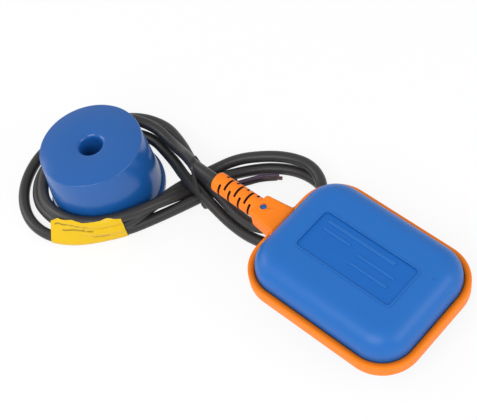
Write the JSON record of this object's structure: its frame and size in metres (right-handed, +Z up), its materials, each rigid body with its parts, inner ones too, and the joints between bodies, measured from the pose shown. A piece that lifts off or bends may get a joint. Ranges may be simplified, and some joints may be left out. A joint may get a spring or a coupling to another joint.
{
  "type": "cable float switch",
  "caption": "Blue two-shell float with an orange rim and cable boot, a tilting ball microswitch inside, a blue counterweight and a coiled cable.",
  "frame": {"origin": "on the table, under the middle of the box round the float and the counterweight", "axes": "+X along the float away from its cable, +Z up along the counterweight's hole"},
  "size_m": [0.2942, 0.1376, 0.045],
  "materials": {
    "blue_shell": "satin moulded polypropylene",
    "orange_rim": "satin thermoplastic elastomer",
    "black_rubber": "matt rubber",
    "white_plastic": "matt",
    "black_plastic": "matt",
    "steel": "satin",
    "brass": "satin",
    "cable_sheath": "satin rubber sheath",
    "core_brown": "satin insulation",
    "core_blue": "satin insulation",
    "core_black": "satin insulation",
    "tie_strap": "satin",
    "label_film": "satin film",
    "weight_blue": "glossy moulded plastic",
    "cement": "rough cement"
  },
  "bodies": {
    "float_and_weight": {"upper_shell": "blue_shell", "lower_shell": "blue_shell", "rim_and_boot": "orange_rim", "joint_seal": "black_rubber", "capsule_base": "white_plastic", "capsule_lid": "white_plastic", "capsule_gasket": "black_rubber", "capsule_screws": "steel", "cable_grommet": "black_rubber", "cable_clamp": "white_plastic", "cable_inside": "cable_sheath", "switch_case": "black_plastic", "switch_cover": "black_plastic", "switch_screws": "steel", "terminal_common": "brass", "terminal_open": "brass", "terminal_closed": "brass", "lever_pin": "steel", "ball_stop": "black_rubber", "inner_core_brown": "core_brown", "inner_core_blue": "core_blue", "inner_core_black": "core_black", "weight_shell": "weight_blue", "weight_base": "weight_blue", "weight_ballast": "cement", "cable": "cable_sheath", "cable_label": "label_film", "cable_tie": "tie_strap", "end_core_brown": "core_brown", "end_core_blue": "core_blue", "end_core_black": "core_black"},
    "ball": {"track_ball": "steel"},
    "lever": {"switch_lever": "steel"},
    "plunger": {"switch_plunger": "white_plastic"},
    "blade": {"contact_blade": "brass"}
  },
  "joints": [
    {"name": "ball_roll", "type": "slide", "parent": "float_and_weight", "child": "ball", "axis": [-0.9976, 0, 0.0698], "range_m": [0, 0.02525]},
    {"name": "lever_turn", "type": "hinge", "parent": "float_and_weight", "child": "lever", "pos_m": [0.07722, -0.0004, 0.01913], "axis": [0.0698, 0, 0.9976], "range_deg": [0, 4], "stiffness_Nm_per_rad": 0.02},
    {"name": "plunger_press", "type": "slide", "parent": "float_and_weight", "child": "plunger", "axis": [-0.9976, 0, 0.0698], "range_m": [0, 0.0007]},
    {"name": "blade_turn", "type": "hinge", "parent": "float_and_weight", "child": "blade", "pos_m": [0.06994, 0.0195, 0.01964], "axis": [-0.0698, 0, -0.9976], "range_deg": [0, 3.5]}
  ],
  "couplings": [
    {"joint": "plunger_press", "follows": "lever_turn", "m_per_rad": 0.0084},
    {"joint": "blade_turn", "follows": "lever_turn", "ratio": 0.7304}
  ]
}
